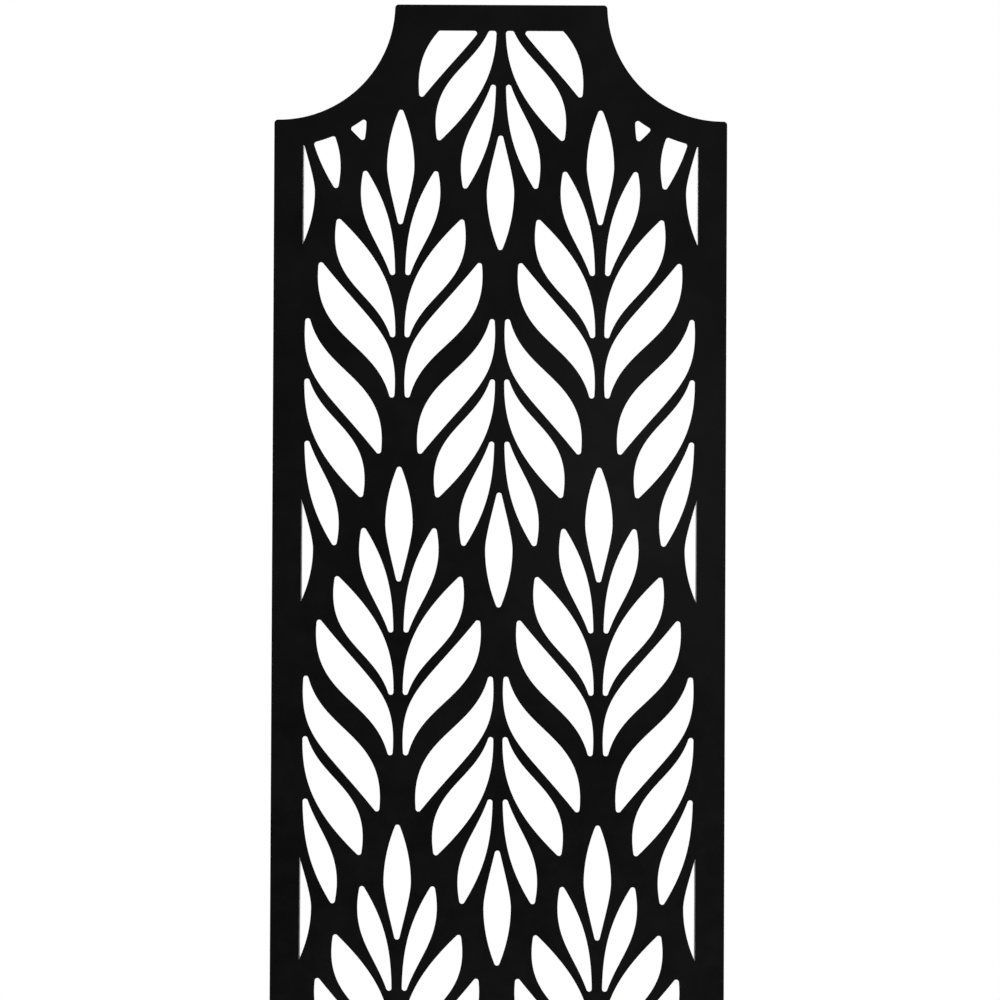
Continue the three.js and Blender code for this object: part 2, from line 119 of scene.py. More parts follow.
# %% Boolean helper
def boolean(bm, cutter, operation="DIFFERENCE"):
    objects = []
    for shape in (bm, cutter):
        bmesh.ops.recalc_face_normals(shape, faces=shape.faces)
        mesh = bpy.data.meshes.new("throwaway")
        shape.to_mesh(mesh)
        shape.free()
        objects.append(bpy.data.objects.new("throwaway", mesh))
        bpy.context.scene.collection.objects.link(objects[-1])
    cut = objects[0].modifiers.new("cut", "BOOLEAN")
    cut.object, cut.operation, cut.solver = objects[1], operation, "EXACT"
    evaluated = objects[0].evaluated_get(bpy.context.evaluated_depsgraph_get())
    result = bmesh.new()
    result.from_mesh(evaluated.to_mesh())
    evaluated.to_mesh_clear()
    for throwaway in objects:
        mesh = throwaway.data
        bpy.data.objects.remove(throwaway)
        bpy.data.meshes.remove(mesh)
    return result


# %% [markdown]
# ## Shared shader groups
#
# Powder coat is a plastic film, 0.1 mm thick, that was melted onto the steel. It levels out into
# a fine orange peel, and its gloss varies a little over a hand's breadth. One group makes both from
# noise on Object coordinates, so that the grain has the same size on every piece and doesn't stretch.
# It puts out a colour, a roughness and a normal, and each material sets its own values.

# %% Small helpers for node trees
def node(tree, kind, place=(0, 0), **values):
    made = tree.nodes.new(kind)
    made.location = place
    for key, value in values.items():
        setattr(made, key, value)
    return made


def noise(tree, vector, scale, detail, roughness, place):
    made = node(tree, "ShaderNodeTexNoise", place)
    made.inputs["Scale"].default_value = scale
    made.inputs["Detail"].default_value = detail
    made.inputs["Roughness"].default_value = roughness
    tree.links.new(vector, made.inputs["Vector"])
    return made.outputs["Fac"]


def remap(tree, value, low, high, to_low, to_high, place):
    made = node(tree, "ShaderNodeMapRange", place, interpolation_type="SMOOTHSTEP")
    for key, number in (("From Min", low), ("From Max", high), ("To Min", to_low), ("To Max", to_high)):
        if isinstance(number, bpy.types.NodeSocket):
            tree.links.new(number, made.inputs[key])
        else:
            made.inputs[key].default_value = number
    tree.links.new(value, made.inputs["Value"])
    return made.outputs["Result"]


# %% The coating group
def bump(tree, height, distance, place):
    made = node(tree, "ShaderNodeBump", place)
    made.inputs["Strength"].default_value = 1.0
    tree.links.new(height, made.inputs["Height"])
    tree.links.new(distance, made.inputs["Distance"])
    return made


def coating_group():
    tree = bpy.data.node_groups.new("coating_surface", "ShaderNodeTree")
    sockets = {
        "Dark": ("NodeSocketColor", (0.003, 0.003, 0.003, 1)),
        "Light": ("NodeSocketColor", (0.005, 0.005, 0.005, 1)),
        "Smooth": ("NodeSocketFloat", 0.4),
        "Rough": ("NodeSocketFloat", 0.5),
        "Peel Height": ("NodeSocketFloat", 0.02 * mm),
        "Wave Height": ("NodeSocketFloat", 0.2 * mm),
    }
    for name, (kind, default) in sockets.items():
        socket = tree.interface.new_socket(name, in_out="INPUT", socket_type=kind)
        socket.default_value = default
    for name, kind in (("Color", "Color"), ("Roughness", "Float"), ("Normal", "Vector")):
        tree.interface.new_socket(name, in_out="OUTPUT", socket_type="NodeSocket" + kind)
    given = node(tree, "NodeGroupInput", (-900, 0)).outputs
    result = node(tree, "NodeGroupOutput", (700, 0)).inputs
    position = node(tree, "ShaderNodeTexCoord", (-1100, -200)).outputs["Object"]
    link = tree.links.new

    patches = noise(tree, position, scale=9.0, detail=3.0, roughness=0.55, place=(-700, 300))
    mix = node(tree, "ShaderNodeMix", (-200, 300), data_type="RGBA")
    link(remap(tree, patches, 0.35, 0.65, 0.0, 1.0, (-450, 300)), mix.inputs["Factor"])
    link(given["Dark"], mix.inputs["A"])
    link(given["Light"], mix.inputs["B"])
    link(mix.outputs["Result"], result["Color"])

    gloss = noise(tree, position, scale=45.0, detail=4.0, roughness=0.6, place=(-700, 0))
    link(remap(tree, gloss, 0.3, 0.7, given["Smooth"], given["Rough"], (-450, 0)), result["Roughness"])

    slow = noise(tree, position, scale=7.0, detail=1.0, roughness=0.4, place=(-200, -200))
    fine = noise(tree, position, scale=420.0, detail=2.0, roughness=0.5, place=(-200, -450))
    waves = bump(tree, slow, given["Wave Height"], (100, -200))
    peel = bump(tree, fine, given["Peel Height"], (350, -300))
    link(waves.outputs["Normal"], peel.inputs["Normal"])
    link(peel.outputs["Normal"], result["Normal"])
    return tree


coating_surface = coating_group()
print("group", coating_surface.name, [socket.name for socket in coating_surface.interface.items_tree])

# %% [markdown]
# ## The finishes
#
# Four finishes make up the screen: the black powder coat, black zinc on the screws, bright zinc on
# the nuts and studs, and black nylon pads. The coat is deep black with a satin sheen, so its own
# colour is almost nothing and what shows is the gloss. Values that are the same all over are set
# on the shader itself.

# %% Materials
def surfaced(name, metallic, specular, **values):
    material = bpy.data.materials.new(name)
    material.use_nodes = True
    tree = material.node_tree
    shader = tree.nodes["Principled BSDF"]
    shader.inputs["Metallic"].default_value = metallic
    shader.inputs["Specular IOR Level"].default_value = specular
    surface = node(tree, "ShaderNodeGroup", (-300, 300), node_tree=coating_surface)
    for key, value in values.items():
        surface.inputs[key.replace("_", " ")].default_value = value
    for output, key in (("Color", "Base Color"), ("Roughness", "Roughness"), ("Normal", "Normal")):
        tree.links.new(surface.outputs[output], shader.inputs[key])
    return material


def grey(level, blue=1.0):
    return (level, level, level * blue, 1)


powder_coat = surfaced(
    "black_powder_coat", metallic=0.0, specular=0.15,
    Dark=grey(0.0016), Light=grey(0.0029), Smooth=0.33, Rough=0.42,
    Peel_Height=0.02 * mm, Wave_Height=0.08 * mm,
)
black_zinc = surfaced(
    "black_zinc_plate", metallic=0.8, specular=0.5,
    Dark=grey(0.02, 1.1), Light=grey(0.04, 1.15), Smooth=0.28, Rough=0.42,
    Peel_Height=0.004 * mm, Wave_Height=0.0,
)
zinc = surfaced(
    "bright_zinc_plate", metallic=1.0, specular=0.5,
    Dark=grey(0.48, 1.02), Light=grey(0.62, 1.04), Smooth=0.22, Rough=0.38,
    Peel_Height=0.004 * mm, Wave_Height=0.0,
)
nylon = surfaced(
    "black_nylon", metallic=0.0, specular=0.4,
    Dark=grey(0.008), Light=grey(0.012), Smooth=0.5, Rough=0.62,
    Peel_Height=0.01 * mm, Wave_Height=0.0,
)

# %% [markdown]
# ## Drawing the leaf pattern
#
# The pattern is a sprig of three pairs of leaves below a bud, repeated in columns that point up and
# down by turns. A leaf is two Bezier curves between a heel and a tip. Drawing one sprig and placing
# it by a loop is how the laser's own drawing would be made, and it keeps every leaf alike. Here the
# numbers are millimetres on the sheet, across and up, with a bud's middle at 0, 0.
# An outline is a list of sides that meet at corners, anticlockwise.

# %% One sprig
LEAVES = [
    {
        "heel": (7, -172), "tip": (49, -4),
        "below": [(20, -105), (68, -83)], "above": [(6, -108), (10, -64)],
    },
    {
        "heel": (8, -259), "tip": (85, -71),
        "below": [(13, -172), (105, -173)], "above": [(1, -184), (14, -138)],
    },
    {
        "heel": (10, -339), "tip": (109, -128),
        "below": [(14, -236), (126, -246)], "above": [(-5, -231), (27, -231)],
    },
]
BUD = {
    "heel": (0, -93), "waist": (18.3, -4), "tip": (0, 78.5),
    "lower": [(9.5, -52), (18.3, -22)], "upper": [(18.3, 26), (10.5, 55)],
}
CURVE_STEPS = 64


def bezier(start, handles, end):
    a, b, c, d = (Vector(p) for p in (start, *handles, end))
    steps = [i / CURVE_STEPS for i in range(CURVE_STEPS + 1)]
    return [a * (1 - t) ** 3 + b * 3 * t * (1 - t) ** 2 + c * 3 * t * t * (1 - t) + d * t**3 for t in steps]


def leaf_outline(heel, tip, below, above):
    return [bezier(heel, below, tip), bezier(heel, above, tip)[::-1]]


def bud_outline(heel, waist, tip, lower, upper):
    right = bezier(heel, lower, waist) + bezier(waist, upper, tip)[1:]
    return [right, [Vector((-p.x, p.y)) for p in reversed(right)]]


def area(outline):
    ring = [p for side in outline for p in side[:-1]]
    return sum(a.cross(b) for a, b in zip(ring, ring[1:] + ring[:1])) / 2


def placed(outline, x, y, across, up):
    moved = [[Vector((x + across * p.x, y + up * p.y)) for p in side] for side in outline]
    return moved if area(moved) > 0 else [side[::-1] for side in reversed(moved)]


print("leaf areas", [round(abs(area(leaf_outline(**leaf)))) for leaf in LEAVES], "mm2")

# %% [markdown]
# ## Stopping the pattern at the rim
#
# The laser leaves a plain rim along the top, the shoulders and the bottom. A leaf that crosses it is
# cut off there, and the cut is closed along the border, straight or as an arc. Each border is given
# as a distance that is positive on the side that is kept.

# %% Borders
def straight_side(a, b):
    return [a.lerp(b, i / CURVE_STEPS) for i in range(CURVE_STEPS + 1)]


def arc(centre, radius, start, end, steps=CURVE_STEPS):
    turn = (end - start + pi) % (2 * pi) - pi
    angles = [start + turn * i / steps for i in range(steps + 1)]
    return [centre + radius * Vector((cos(a), sin(a))) for a in angles]


def angle_of(v):
    return Vector((1, 0)).angle_signed(v) * -1


def line_border(distance):
    return distance, straight_side


def arc_border(centre, radius):
    def along(a, b):
        return arc(centre, radius, angle_of(a - centre), angle_of(b - centre))

    return (lambda p: (p - centre).length - radius), along


# %% Cut outlines at a border
def cut_outline(outline, border):
    distance, along = border
    runs, inside, started_inside = [], None, distance(outline[0][0]) > 0
    for side in outline:
        if inside is not None:
            inside.append([])
        for i, p in enumerate(side):
            here = distance(p)
            if i and (here > 0) != (before > 0):
                edge_point = side[i - 1].lerp(p, before / (before - here))
                if here > 0:
                    inside = [[edge_point]]
                    runs.append(inside)
                else:
                    inside[-1].append(edge_point)
                    inside = None
            if here > 0:
                if inside is None:
                    inside = [[]]
                    runs.append(inside)
                inside[-1].append(p)
            before = here
    if not runs:
        return []
    if started_inside and inside is runs[-1]:
        if len(runs) == 1:
            return [outline]
        runs[0] = runs.pop() + runs[0]
    kept = [[side for side in run if len(side) > 1] for run in runs]
    return [run + [along(run[-1][-1], run[0][0])] for run in kept]


first_leaf = leaf_outline(**LEAVES[0])
leaf_middle = (first_leaf[0][0].x + first_leaf[0][-1].x) / 2
inner_part = cut_outline(first_leaf, line_border(lambda p: leaf_middle - p.x))
print("a leaf cut across its middle keeps", round(abs(area(inner_part[0]) / area(first_leaf)), 2))

# %% [markdown]
# ## Rounding the corners
#
# A laser can't turn a sharp inside corner cleanly, so each corner gets a small radius. Both sides are
# moved inwards by the radius. Where the moved sides cross lies the middle of the arc that touches
# both. Where two arcs don't fit on a side, a smaller radius is tried. Points that a curve doesn't
# need are then dropped, which keeps the mesh light.

# %% Helpers for round corners
def moved_in(side, distance):
    ends = zip([side[0]] + side[:-1], side, side[1:] + [side[-1]])
    return [p + (after - before).normalized().orthogonal() * distance for before, p, after in ends]


def crossing(first, second):
    for i in range(len(first) - 2, -1, -1):
        for j in range(len(second) - 1):
            centre = intersect_line_line_2d(first[i], first[i + 1], second[j], second[j + 1])
            if centre:
                s = (centre - first[i]).length / (first[i + 1] - first[i]).length
                t = (centre - second[j]).length / (second[j + 1] - second[j]).length
                return i + s, j + t, centre
    return None


def point_at(side, position):
    i = min(int(position), len(side) - 2)
    return side[i].lerp(side[i + 1], position - i)


def thinned(points, tolerance):
    start, chord = points[0], points[-1] - points[0]
    away = [abs(chord.cross(p - start)) / chord.length for p in points]
    at = max(range(len(points)), key=away.__getitem__)
    if away[at] <= tolerance:
        return [points[0], points[-1]]
    return thinned(points[: at + 1], tolerance) + thinned(points[at:], tolerance)[1:]


# %% Round the corners of an outline
FINE = 0.03
CORNER_STEPS = 8
NEXT_RADIUS = 0.8


def rounded(outline, radius):
    count = len(outline)
    moved = [moved_in(side, radius) for side in outline]
    corners = [crossing(moved[i], moved[(i + 1) % count]) for i in range(count)]
    spans = []
    for i, side in enumerate(outline):
        start = corners[i - 1][1] if corners[i - 1] else 0
        end = corners[i][0] if corners[i] else len(side) - 1
        if end <= start:
            return rounded(outline, NEXT_RADIUS * radius)
        spans.append((start, end))
    ring = []
    for i, (side, (start, end)) in enumerate(zip(outline, spans)):
        between = [p for k, p in enumerate(side) if start < k < end]
        kept = [point_at(side, start), *between, point_at(side, end)]
        ring += thinned(kept, FINE)[:-1]
        if corners[i]:
            centre = corners[i][2]
            leaving = point_at(outline[(i + 1) % count], corners[i][1])
            turn = [angle_of(p - centre) for p in (kept[-1], leaving)]
            ring += arc(centre, radius, *turn, CORNER_STEPS)[:-1]
    return ring


print("a curve is kept to within", FINE, "mm, a corner is drawn in", CORNER_STEPS, "steps")

# %% [markdown]
# ## Every hole of the sheet
#
# Five columns of sprigs stand side by side, and every second one points down. A hole that the rim
# leaves only a scrap of isn't cut. The columns at the sides lie behind the posts, so only half of
# each of their buds shows, drawn a little wider. Those slots end along the post in a straight line
# with sharp ends, because there the post stops the light.

# %% The pattern's places
OUTERMOST = 2  # columns on each side of the middle one
OUTER_COLUMN_COVER = 3  # how far the outer columns lie behind the posts
COLUMN_PITCH = (post_inner / mm + OUTER_COLUMN_COVER) / OUTERMOST
DRAWN_PITCH = 134.5
STRETCH = COLUMN_PITCH / DRAWN_PITCH
OUTER_BUD_SHIFT = 3
OUTER_BUD_STRETCH = 1.2
ROWS = 5
ROW_REPEAT = 481
TOP_BUD_DROP = 215
DOWNWARD_BUD_DROP = 42.5
TOP_RIM = 35
SHOULDER_RIM = 36.5
HOLE_CORNER = 3.5
SCRAP = 160
SHOULDER_RADIUS = 156
SHOULDER_FLAT = 6  # level edge between the shoulder's arc and the side
top, bottom, half = sheet_high.z / mm, sheet_low.z / mm, half_width / mm
inner = post_inner / mm
shoulder_centre = Vector((half - SHOULDER_FLAT, top))
print("columns", round(COLUMN_PITCH, 2), "mm apart, rows", ROW_REPEAT, "mm")


# %% Lay out the pattern
def mirrored(p, side):
    return Vector((side * p.x, p.y))


def rim_borders():
    bottom_rim = half - inner
    borders = [line_border(lambda p: top - TOP_RIM - p.y), line_border(lambda p: p.y - bottom - bottom_rim)]
    for side in SIDES.values():
        borders.append(arc_border(mirrored(shoulder_centre, side), SHOULDER_RADIUS + SHOULDER_RIM))
    return borders


def clipped(outline, borders):
    pieces = [outline]
    for border in borders:
        pieces = [part for piece in pieces for part in cut_outline(piece, border)]
    return [piece for piece in pieces if area(piece) > SCRAP]


def leaf_holes(x, z, up, rim):
    rings = []
    for leaf in LEAVES:
        for side in (1, -1):
            if abs(x + side * leaf["heel"][0]) <= inner:
                outline = placed(leaf_outline(**leaf), x, z, side * STRETCH, up)
                rings += [rounded(piece, HOLE_CORNER) for piece in clipped(outline, rim)]
    return rings


def bud_holes(x, z, wider, up, rim):
    outline = placed(bud_outline(**BUD), x, z, wider * STRETCH, up)
    return [rounded(piece, HOLE_CORNER) for piece in clipped(outline, rim)]


def half_buds(rings, posts):
    parts = [part for ring in rings for part in clipped([ring + ring[:1]], posts)]
    return [[p for side in part for p in thinned(side, FINE)[:-1]] for part in parts]


def sheet_holes():
    rim = rim_borders()
    posts = [line_border(lambda p, side=side: inner - side * p.x) for side in SIDES.values()]
    rings = []
    for column in range(-OUTERMOST, OUTERMOST + 1):
        up = 1 if column % 2 else -1
        drop = TOP_BUD_DROP + (0 if up > 0 else DOWNWARD_BUD_DROP)
        x = column * COLUMN_PITCH
        for row in range(ROWS):
            z = top - drop - row * ROW_REPEAT
            rings += leaf_holes(x, z, up, rim)
            if abs(column) < OUTERMOST:
                rings += bud_holes(x, z, 1, up, rim)
            else:
                shift = OUTER_BUD_SHIFT * column / OUTERMOST
                rings += half_buds(bud_holes(x + shift, z, OUTER_BUD_STRETCH, up, rim), posts)
    return rings


holes = sheet_holes()
print(len(holes), "holes,", sum(len(ring) for ring in holes), "points")

# %% [markdown]
# ## The sheet's own outline
#
# The sheet is a rectangle with a quarter of a circle taken out of each top corner. It is made of
# sides like a leaf, so the same function rounds its corners.

# %% Outline of the sheet
SHEET_CORNER = 5


def sheet_ring():
    shoulders = {}
    for side in SIDES.values():
        run = arc(shoulder_centre, SHOULDER_RADIUS, -pi / 2, -pi)
        level_edge = straight_side(Vector((half, top - SHOULDER_RADIUS)), run[0])
        shoulders[side] = [mirrored(p, side) for p in level_edge + run[1:]]
    low_left, low_right = Vector((-half, bottom)), Vector((half, bottom))
    right, left = shoulders[1], shoulders[-1][::-1]
    outline = [
        straight_side(low_left, low_right), straight_side(low_right, right[0]), right,
        straight_side(right[-1], left[0]), left, straight_side(left[-1], low_left),
    ]
    return rounded(outline, SHEET_CORNER)


outline_ring = sheet_ring()
print("outline", len(outline_ring), "points")

# %% [markdown]
# ## The pierced sheet
#
# A flat Bezier or poly curve with other curves inside it is filled with holes by Blender itself, and
# its Extrude and Bevel give it a thickness and rounded edges. That is the natural tool for anything
# that is cut from plate. The curve is drawn in the XY plane, made a mesh, and then stood up. The edge
# rounding matters: on a black sheet the edges are where the light shows.

# %% Plate from flat outlines
def plate_mesh(name, rings, thickness, edge, steps):
    curve = bpy.data.curves.new(name, "CURVE")
    curve.dimensions, curve.fill_mode = "2D", "BOTH"
    curve.extrude = thickness / 2 - edge
    curve.bevel_depth, curve.bevel_resolution, curve.offset = edge, steps - 1, -edge
    for ring in rings:
        spline = curve.splines.new("POLY")
        spline.points.add(len(ring) - 1)
        for target, p in zip(spline.points, ring):
            target.co = (p.x * mm, p.y * mm, 0, 1)
        spline.use_cyclic_u = True
    throwaway = bpy.data.objects.new(name, curve)
    bpy.context.scene.collection.objects.link(throwaway)
    evaluated = throwaway.evaluated_get(bpy.context.evaluated_depsgraph_get())
    mesh = bpy.data.meshes.new_from_object(evaluated)
    mesh.name = name
    bpy.data.objects.remove(throwaway)
    bpy.data.curves.remove(curve)
    return mesh


# %% Cut the sheet
EDGE = 0.3 * mm
EDGE_STEPS = 3
FLAT_FACE = 0.999  # a face that looks straight to the front or back isn't smoothed

sheet_rings = [outline_ring] + [ring[::-1] for ring in holes]
sheet_mesh = plate_mesh("laser_cut_sheet", sheet_rings, sheet_high.y - sheet_low.y, EDGE, EDGE_STEPS)
stood_up = Matrix.Rotation(pi / 2, 4, "X")
sheet_mesh.transform(Matrix.Translation((0, (sheet_low.y + sheet_high.y) / 2, 0)) @ stood_up)
bm = bmesh.new()
bm.from_mesh(sheet_mesh)
open_edges = merge_doubles(bm)
for face in bm.faces:
    face.smooth = abs(face.normal.y) < FLAT_FACE
bm.to_mesh(sheet_mesh)
volume = round(bm.calc_volume() * 1e6)
print("sheet", len(bm.faces), "faces,", open_edges, "open edges, volume", volume, "cm3")
print("sheet box", [round(max(v.co[i] for v in bm.verts) / mm, 2) for i in range(3)])
bm.free()
place_mesh("laser_cut_sheet", sheet_mesh, powder_coat, "screen", ["screen_sheet"])

# %% [markdown]
# ## Frame tubes
#
# The posts and rails are rectangular steel tube, rolled from strip, so their long corners are round.
# A tube starts as a cube without its two ends. Beveling the four long edges makes the round corners,
# and a solidify gives the wall. Because the wall is a real one, the screw holes can be cut through it.

# %% Tubes
TUBE_WALL = 1.5 * mm
TUBE_CORNER = 2.5 * mm
ACROSS, UPRIGHT = 0, 2


def lies_along(direction, axis):
    return abs(direction.normalized()[axis]) > 0.9


def tube(node_name, axis):
    low, high = box_of(node_name)
    bm = bmesh.new()
    bmesh.ops.create_cube(bm, size=1)
    bmesh.ops.scale(bm, vec=high - low, verts=bm.verts)
    bmesh.ops.translate(bm, vec=(low + high) / 2, verts=bm.verts)
    ends = [face for face in bm.faces if lies_along(face.normal, axis)]
    bmesh.ops.delete(bm, geom=ends, context="FACES_ONLY")
    long_edges = [e for e in bm.edges if lies_along(e.verts[0].co - e.verts[1].co, axis)]
    bmesh.ops.bevel(bm, geom=long_edges, offset=TUBE_CORNER, offset_type="OFFSET", segments=6, profile=0.5,
                    affect="EDGES", material=-1)
    bmesh.ops.recalc_face_normals(bm, faces=bm.faces)
    bmesh.ops.solidify(bm, geom=bm.faces[:], thickness=TUBE_WALL)
    return bm


# %% Posts with their screw holes, and rails
SCREW_HOLE = 4.5 * mm


def drill(bm, centre, radius, depth):
    cutter = bmesh.new()
    bmesh.ops.create_cone(cutter, cap_ends=True, segments=48, radius1=radius, radius2=radius, depth=depth)
    bmesh.ops.rotate(cutter, matrix=Matrix.Rotation(pi / 2, 3, "X"), verts=cutter.verts)
    bmesh.ops.translate(cutter, vec=centre, verts=cutter.verts)
    return boolean(bm, cutter)


for side_name in SIDES:
    name = "post_" + side_name
    bm = tube(name, UPRIGHT)
    for level in LEVELS:
        low, high = box_of(f"screw_{side_name}_{level}")
        centre = (low + high) / 2
        centre.y = post_high.y
        bm = drill(bm, centre, SCREW_HOLE, 4 * TUBE_WALL)
    finish_piece(bm, name + "_tube", powder_coat, "screen", [name])
for name in ("top_rail", "bottom_rail"):
    finish_piece(tube(name, ACROSS), name + "_tube", powder_coat, "screen", [name])

# %% [markdown]
# ## Shoulder bars
#
# A flat bar is rolled to the shoulder's radius. It closes the post's top end and makes the frame
# follow the curve. Its section is drawn once, run straight over the post's outer end and then
# spun round the shoulder's centre. Rolling leaves the long edges slightly soft.

# %% Helpers for sections and ends
def only(kinds, geometry):
    return [g for g in geometry if isinstance(g, kinds)]


def cut_level(bm, height, direction):
    everything = bm.verts[:] + bm.edges[:] + bm.faces[:]
    bmesh.ops.bisect_plane(bm, geom=everything, plane_co=(0, 0, height), plane_no=(0, 0, direction),
                           clear_outer=True)


def close_ends(bm):
    bmesh.ops.holes_fill(bm, edges=[e for e in bm.edges if e.is_boundary], sides=0)


# %% Rolled bars
BAR_THICKNESS = 4 * mm
BAR_EDGE = 0.7 * mm
BAR_STEPS = 64


def shoulder_bar(name, side):
    low, high = box_of(name)
    centre = Vector((side * shoulder_centre.x * mm, 0, shoulder_centre.y * mm))
    outer_end = high.x if side > 0 else low.x
    bm = bmesh.new()
    bmesh.ops.create_grid(bm, x_segments=1, y_segments=1, size=0.5)
    bmesh.ops.scale(bm, vec=(BAR_THICKNESS, high.y - low.y, 1), verts=bm.verts)
    bmesh.ops.bevel(bm, geom=bm.verts[:], offset=BAR_EDGE, offset_type="OFFSET", segments=4, profile=0.5,
                    affect="VERTICES", material=-1)
    bmesh.ops.delete(bm, geom=bm.faces[:], context="FACES_ONLY")
    bmesh.ops.rotate(bm, matrix=Matrix.Rotation(pi / 2, 3, "Y"), verts=bm.verts)
    bmesh.ops.translate(bm, vec=(outer_end, 0, low.z + BAR_THICKNESS / 2), verts=bm.verts)
    stub = bmesh.ops.extrude_edge_only(bm, edges=bm.edges[:])["geom"]
    moved = only(bmesh.types.BMVert, stub)
    bmesh.ops.translate(bm, vec=(centre.x - outer_end, 0, 0), verts=moved)
    section = only((bmesh.types.BMVert, bmesh.types.BMEdge), stub)
    bmesh.ops.spin(bm, geom=section, cent=centre, axis=(0, 1, 0), angle=side * pi / 2, steps=BAR_STEPS)
    cut_level(bm, high.z, 1)
    close_ends(bm)
    return bm


for side_name, side in SIDES.items():
    name = "shoulder_bar_" + side_name
    finish_piece(shoulder_bar(name, side), "rolled_" + name, powder_coat, "screen", [name])

# %% [markdown]
# ## Foot bars
#
# Each foot is a flat bar with round corners and softened edges, with a hole for a glide near each
# end. It is plate again, so it is made in the way of the sheet.

# %% Feet
FOOT_CORNER = 8
FOOT_EDGE = 1.0 * mm
FOOT_EDGE_STEPS = 4
STUD_HOLE = 4.3
HOLE_STEPS = 48


def box_in_mm(node_name):
    low, high = (corner / mm for corner in box_of(node_name))
    return low, high, (low + high) / 2


def circle_ring(x, y, radius):
    angles = [2 * pi * i / HOLE_STEPS for i in range(HOLE_STEPS)]
    return [Vector((x + radius * cos(a), y - radius * sin(a))) for a in angles]


def foot_bar(name, side_name):
    low, high, centre = box_in_mm(name)
    corners = [Vector(c) for c in ((low.x, low.y), (high.x, low.y), (high.x, high.y), (low.x, high.y))]
    outline = [straight_side(a, b) for a, b in zip(corners, corners[1:] + corners[:1])]
    rings = [rounded(outline, FOOT_CORNER)]
    for end in ENDS:
        glide = box_in_mm(f"glide_pad_{side_name}_{end}")[2]
        rings.append(circle_ring(glide.x, glide.y, STUD_HOLE))
    mesh = plate_mesh(name + "_plate", rings, (high.z - low.z) * mm, FOOT_EDGE, FOOT_EDGE_STEPS)
    mesh.transform(Matrix.Translation((0, 0, centre.z * mm)))
    bm = bmesh.new()
    bm.from_mesh(mesh)
    bpy.data.meshes.remove(mesh)
    return bm


for side_name in SIDES:
    name = "foot_bar_" + side_name
    finish_piece(foot_bar(name, side_name), name + "_plate", powder_coat, "screen", [name])

# %% [markdown]
# ## Turned pieces
#
# Washers, screw heads and pads are round, so each is a profile spun about the Z axis. The profile
# runs from the axis outwards and back, and its corners are rounded before the spin, while they are
# still single vertices. A hexagon is a cone with six sides and the same radius at both ends.

# %% Lathe and hexagon
def lathe(profile, rounding=0.0, steps=64):
    bm = bmesh.new()
    points = [bm.verts.new((radius * mm, 0, height * mm)) for radius, height in profile]
    closed = profile[0][0] > 0
    pairs = list(zip(points, points[1:])) + ([(points[-1], points[0])] if closed else [])
    for a, b in pairs:
        bm.edges.new((a, b))
    if rounding:
        corners = points if closed else points[1:-1]
        bmesh.ops.bevel(bm, geom=corners, offset=rounding * mm, offset_type="OFFSET", segments=4, profile=0.5,
                        affect="VERTICES", material=-1)
    bmesh.ops.spin(bm, geom=bm.verts[:] + bm.edges[:], cent=(0, 0, 0), axis=(0, 0, 1), angle=2 * pi,
                   steps=steps, use_merge=True)
    merge_doubles(bm, MERGE_DISTANCE / 10)
    return bm


def hexagon(across_flats, low, high):
    bm = bmesh.new()
    corner = across_flats / 3**0.5 * mm
    depth = (high - low) * mm
    bmesh.ops.create_cone(bm, cap_ends=True, segments=6, radius1=corner, radius2=corner, depth=depth)
    bmesh.ops.rotate(bm, matrix=Matrix.Rotation(pi / 6, 3, "Z"), verts=bm.verts)
    bmesh.ops.translate(bm, vec=(0, 0, (low + high) / 2 * mm), verts=bm.verts)
    return bm


# %% [markdown]
# ## Threads
#
# A thread is one tooth spun round the axis while it climbs: each step of the spin also moves it up
# by its share of the pitch. The turns then touch, and merging them gives one helical skin. Cutting it
# with a chamfered rod ends the thread as a die would.

# %% Thread
THREAD_PITCH = 1.25
THREAD_DEPTH = 0.6
THREAD_STEPS = 32
THREAD_MERGE = 0.01 * mm
CREST_START, CREST_END = 0.42, 0.58  # shares of the pitch
SPARE_TURNS = 3
SPARE_END = 0.5
ROD_CLEARANCE = 0.2
THREAD_CHAMFER = 0.8


def thread(radius, low, high):
    bm = bmesh.new()
    start, root = low - 2 * THREAD_PITCH, radius - THREAD_DEPTH
    crest = [(radius, CREST_START * THREAD_PITCH), (radius, CREST_END * THREAD_PITCH)]
    tooth = [(root, 0), *crest, (root, THREAD_PITCH)]
    chain = [bm.verts.new((r * mm, 0, (start + z) * mm)) for r, z in tooth]
    edges = [bm.edges.new(pair) for pair in zip(chain, chain[1:])]
    turns = ceil((high - low) / THREAD_PITCH) + SPARE_TURNS
    bmesh.ops.spin(bm, geom=chain + edges, cent=(0, 0, 0), axis=(0, 0, 1), angle=2 * pi * turns,
                   dvec=(0, 0, THREAD_PITCH / THREAD_STEPS * mm), steps=THREAD_STEPS * turns)
    bmesh.ops.remove_doubles(bm, verts=bm.verts, dist=THREAD_MERGE)
    cut_level(bm, (low - SPARE_END) * mm, -1)
    cut_level(bm, (high + SPARE_END) * mm, 1)
    close_ends(bm)
    thin, thick = radius - THREAD_CHAMFER, radius + ROD_CLEARANCE
    thick_from, thick_to = low + THREAD_CHAMFER + ROD_CLEARANCE, high - THREAD_CHAMFER - ROD_CLEARANCE
    rod = lathe([(0, low), (thin, low), (thick, thick_from), (thick, thick_to), (thin, high), (0, high)])
    return boolean(bm, rod, "INTERSECT")


# %% [markdown]
# ## Levelling glides
#
# A glide is a nylon pad with a steel stud that turns in it. The stud has a hexagonal collar for a
# spanner just above the pad, and a lock nut holds it on top of the foot. A nut's corners are turned
# off at 30 degrees, so it is a hexagon cut by a chamfered barrel.

